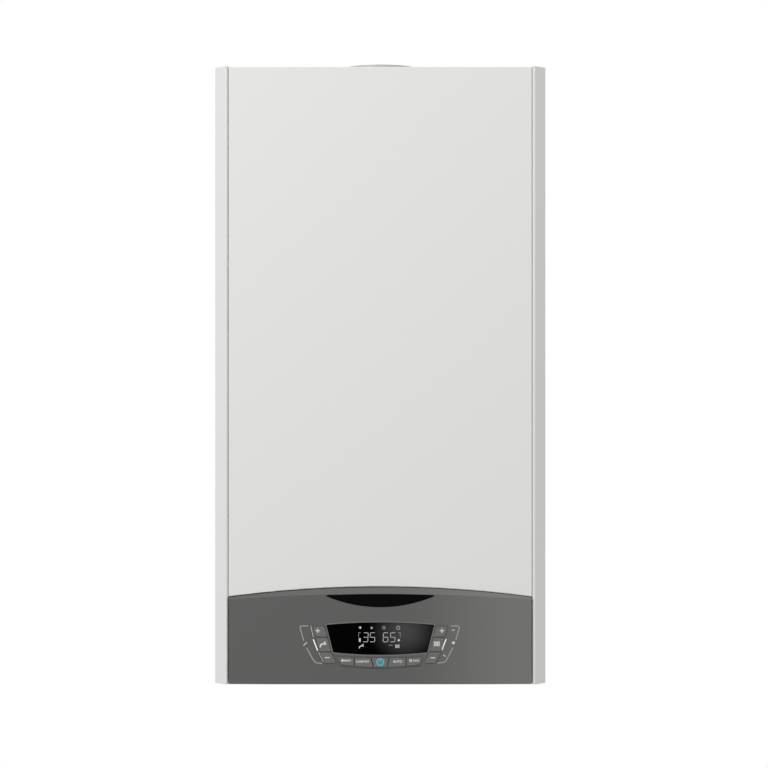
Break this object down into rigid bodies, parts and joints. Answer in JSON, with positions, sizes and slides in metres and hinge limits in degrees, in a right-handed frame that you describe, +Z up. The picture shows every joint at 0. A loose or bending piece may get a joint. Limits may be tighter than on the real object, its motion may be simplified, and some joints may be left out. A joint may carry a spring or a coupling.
{
  "type": "wall-hung gas boiler",
  "caption": "Wall-hung gas boiler: tall white case with a pull-off front cover, tilting control panel with keys and display, flue collar on top and pipe stubs below.",
  "frame": {"origin": "on the wall plane, midway between the two screw holes of the wall bracket", "axes": "+X to the right seen from the front, +Y from the front back to the wall, +Z up"},
  "size_m": [0.4, 0.3203, 0.7613],
  "materials": {
    "white_enamel": "satin baked enamel",
    "galvanised_steel": "dull spangled zinc",
    "zinc_fasteners": "bright zinc plate",
    "stainless_steel": "brushed",
    "cast_aluminium": "fine sand-cast grain",
    "cast_iron": "dark primer",
    "brass": "machined",
    "copper": "drawn tube, slightly dulled",
    "vessel_paint": "gloss paint",
    "fascia_plastic": "fine-textured dark grey",
    "key_plastic": "satin dark grey",
    "gloss_black": "polished",
    "black_plastic": "moulded",
    "grey_plastic": "moulded",
    "white_plastic": "moulded",
    "red_plastic": "moulded",
    "blue_plastic": "moulded",
    "black_rubber": "matt",
    "grey_foam": "open cell foam",
    "circuit_board": "solder mask",
    "ceramic": "glazed"
  },
  "bodies": {
    "boiler": {"wall_bracket": "galvanised_steel", "rear_frame": "galvanised_steel", "left_side_panel": "white_enamel", "right_side_panel": "white_enamel", "top_panel": "white_enamel", "bottom_plate": "galvanised_steel", "front_crossbar": "galvanised_steel", "case_screws": "zinc_fasteners", "stud_clips": "white_plastic", "flue_collar": "white_plastic", "gaskets": "black_rubber", "test_point_caps": "black_plastic", "exhaust_duct": "white_plastic", "exchanger_shell": "grey_plastic", "exchanger_core": "stainless_steel", "burner_door": "cast_aluminium", "burner_tube": "stainless_steel", "door_nuts": "zinc_fasteners", "electrodes": "ceramic", "fan_housing": "cast_aluminium", "fan_motor": "black_plastic", "air_silencer": "black_plastic", "gas_valve": "cast_aluminium", "gas_pipes": "copper", "condensate_hose": "black_rubber", "condensate_trap": "grey_plastic", "expansion_vessel": "vessel_paint", "water_pipes": "copper", "return_block": "black_plastic", "flow_block": "black_plastic", "plate_exchanger": "stainless_steel", "diverter_motor": "white_plastic", "safety_valve": "brass", "pipe_stubs": "brass", "pump_volute": "cast_iron", "pump_motor": "black_plastic", "cable_gland": "grey_plastic"},
    "front_cover": {"front_panel": "white_enamel", "front_panel_seal": "grey_foam"},
    "control_panel": {"control_fascia": "fascia_plastic", "name_lens": "gloss_black", "display_window": "gloss_black", "control_box": "black_plastic", "control_board": "circuit_board"},
    "fan_wheel": {"fan_impeller": "grey_plastic"},
    "pump_wheel": {"pump_rotor": "grey_plastic"},
    "diverter": {"diverter_spindle": "stainless_steel"},
    "relief_knob": {"safety_valve_knob": "red_plastic"},
    "fill_knob": {"filling_knob": "blue_plastic"},
    "key_left_plus_body": {"key_left_plus": "key_plastic"},
    "key_left_mode_body": {"key_left_mode": "key_plastic"},
    "key_left_minus_body": {"key_left_minus": "key_plastic"},
    "key_right_plus_body": {"key_right_plus": "key_plastic"},
    "key_right_mode_body": {"key_right_mode": "key_plastic"},
    "key_right_minus_body": {"key_right_minus": "key_plastic"},
    "key_menu_body": {"key_menu": "key_plastic"},
    "key_comfort_body": {"key_comfort": "key_plastic"},
    "key_power_body": {"key_power": "key_plastic"},
    "key_auto_body": {"key_auto": "key_plastic"},
    "key_info_body": {"key_info": "key_plastic"}
  },
  "joints": [
    {"name": "front_cover_pull", "type": "slide", "parent": "boiler", "child": "front_cover", "axis": [0, -1, 0], "range_m": [0, 0.15]},
    {"name": "control_panel_tilt", "type": "hinge", "parent": "boiler", "child": "control_panel", "pos_m": [0, -0.273, -0.659], "axis": [1, 0, 0], "range_deg": [0, 80]},
    {"name": "fan_spin", "type": "hinge", "parent": "boiler", "child": "fan_wheel", "pos_m": [0.08362, -0.24405, -0.33334], "axis": [1, 0, 0], "continuous": true},
    {"name": "pump_spin", "type": "hinge", "parent": "boiler", "child": "pump_wheel", "pos_m": [0.13, -0.152, -0.47471], "axis": [0, 1, 0], "continuous": true},
    {"name": "diverter_lift", "type": "slide", "parent": "boiler", "child": "diverter", "axis": [0, 0, 1], "range_m": [0, 0.006]},
    {"name": "relief_turn", "type": "hinge", "parent": "boiler", "child": "relief_knob", "pos_m": [0.078, -0.18, -0.56248], "axis": [0, -1, 0], "range_deg": [0, 90]},
    {"name": "fill_turn", "type": "hinge", "parent": "boiler", "child": "fill_knob", "pos_m": [0.0975, -0.12, -0.636], "axis": [0, 0, -1], "range_deg": [0, 270]},
    {"name": "key_left_plus_press", "type": "slide", "parent": "control_panel", "child": "key_left_plus_body", "axis": [0, 1, 0], "range_m": [0, 0.0012], "stiffness_N_per_m": 1500},
    {"name": "key_left_mode_press", "type": "slide", "parent": "control_panel", "child": "key_left_mode_body", "axis": [0, 1, 0], "range_m": [0, 0.0012], "stiffness_N_per_m": 1500},
    {"name": "key_left_minus_press", "type": "slide", "parent": "control_panel", "child": "key_left_minus_body", "axis": [0, 1, 0], "range_m": [0, 0.0012], "stiffness_N_per_m": 1500},
    {"name": "key_right_plus_press", "type": "slide", "parent": "control_panel", "child": "key_right_plus_body", "axis": [0, 1, 0], "range_m": [0, 0.0012], "stiffness_N_per_m": 1500},
    {"name": "key_right_mode_press", "type": "slide", "parent": "control_panel", "child": "key_right_mode_body", "axis": [0, 1, 0], "range_m": [0, 0.0012], "stiffness_N_per_m": 1500},
    {"name": "key_right_minus_press", "type": "slide", "parent": "control_panel", "child": "key_right_minus_body", "axis": [0, 1, 0], "range_m": [0, 0.0012], "stiffness_N_per_m": 1500},
    {"name": "key_menu_press", "type": "slide", "parent": "control_panel", "child": "key_menu_body", "axis": [0, 1, 0], "range_m": [0, 0.0012], "stiffness_N_per_m": 1500},
    {"name": "key_comfort_press", "type": "slide", "parent": "control_panel", "child": "key_comfort_body", "axis": [0, 1, 0], "range_m": [0, 0.0012], "stiffness_N_per_m": 1500},
    {"name": "key_power_press", "type": "slide", "parent": "control_panel", "child": "key_power_body", "axis": [0, 1, 0], "range_m": [0, 0.0012], "stiffness_N_per_m": 1500},
    {"name": "key_auto_press", "type": "slide", "parent": "control_panel", "child": "key_auto_body", "axis": [0, 1, 0], "range_m": [0, 0.0012], "stiffness_N_per_m": 1500},
    {"name": "key_info_press", "type": "slide", "parent": "control_panel", "child": "key_info_body", "axis": [0, 1, 0], "range_m": [0, 0.0012], "stiffness_N_per_m": 1500}
  ]
}
